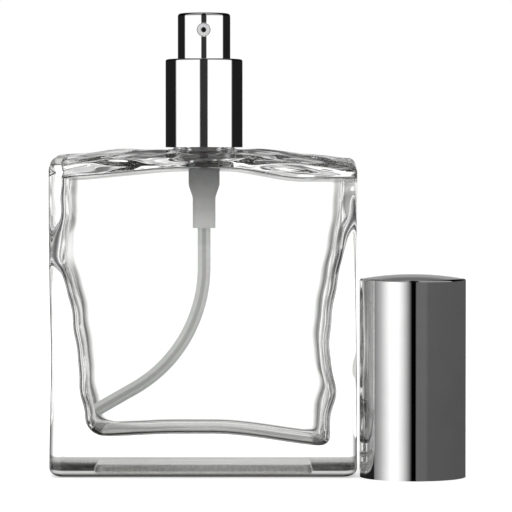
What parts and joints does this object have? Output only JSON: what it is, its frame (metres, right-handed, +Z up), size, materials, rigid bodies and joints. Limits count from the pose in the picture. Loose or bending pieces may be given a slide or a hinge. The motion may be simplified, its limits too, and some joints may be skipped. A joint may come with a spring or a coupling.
{
  "type": "spray bottle",
  "caption": "Clear glass aftershave bottle with a thick base, a screw-on fine-mist spray pump in a polished collar, and a polished push-on cap set down beside it.",
  "frame": {"origin": "on the table under the neck axis, at the middle of the foot's bearing ring", "axes": "+Z up along the neck axis, -Y to the front, which the spray nozzle faces, +X to the side where the cap stands"},
  "size_m": [0.0947, 0.0436, 0.1058],
  "materials": {
    "clear_glass": "clear, fire polished",
    "mirror_metal": "bright mirror polish",
    "white_plastic": "moulded, satin",
    "natural_plastic": "translucent, natural",
    "tube_plastic": "translucent, extruded",
    "insert_plastic": "moulded, satin",
    "seal_rubber": "matt",
    "spring_steel": "drawn wire"
  },
  "bodies": {
    "bottle": {"glass_bottle": "clear_glass"},
    "pump": {"pump_housing": "natural_plastic", "stem_guide": "white_plastic", "stem_seal": "seal_rubber", "neck_gasket": "seal_rubber", "dip_tube": "tube_plastic", "return_spring": "spring_steel"},
    "closure": {"screw_closure": "white_plastic", "collar_shell": "mirror_metal"},
    "stem": {"pump_stem": "white_plastic", "valve_pin": "natural_plastic", "piston_spring": "spring_steel"},
    "piston": {"pump_piston": "natural_plastic"},
    "button": {"actuator_core": "white_plastic", "actuator_shell": "mirror_metal", "nozzle_insert": "insert_plastic"},
    "ball": {"inlet_ball": "spring_steel"},
    "cap": {"cap_shell": "mirror_metal", "cap_liner": "white_plastic"}
  },
  "joints": [
    {"name": "pump_lift", "type": "slide", "parent": "bottle", "child": "pump", "axis": [0, 0, 1], "range_m": [0, 0.00317]},
    {"name": "collar_turn", "type": "hinge", "parent": "pump", "child": "closure", "pos_m": [0, 0, 0.085], "axis": [0, 0, 1], "range_deg": [0, 540]},
    {"name": "spray_press", "type": "slide", "parent": "pump", "child": "stem", "axis": [0, 0, -1], "range_m": [0, 0.004], "stiffness_N_per_m": 1200, "springref_m": -0.004, "deforming": ["return_spring"]},
    {"name": "piston_slip", "type": "slide", "parent": "stem", "child": "piston", "axis": [0, 0, 1], "range_m": [0, 0.0004], "deforming": ["piston_spring"]},
    {"name": "button_turn", "type": "hinge", "parent": "stem", "child": "button", "pos_m": [0, 0, 0.1], "axis": [0, 0, 1], "continuous": true},
    {"name": "ball_lift", "type": "slide", "parent": "pump", "child": "ball", "axis": [0, 0, 1], "range_m": [0, 0.0008]},
    {"name": "cap_lift", "type": "slide", "parent": "bottle", "child": "cap", "axis": [0, 0, 1], "range_m": [0, 0.11]}
  ],
  "couplings": [
    {"joint": "collar_turn", "follows": "pump_lift", "rad_per_m": 2968}
  ]
}
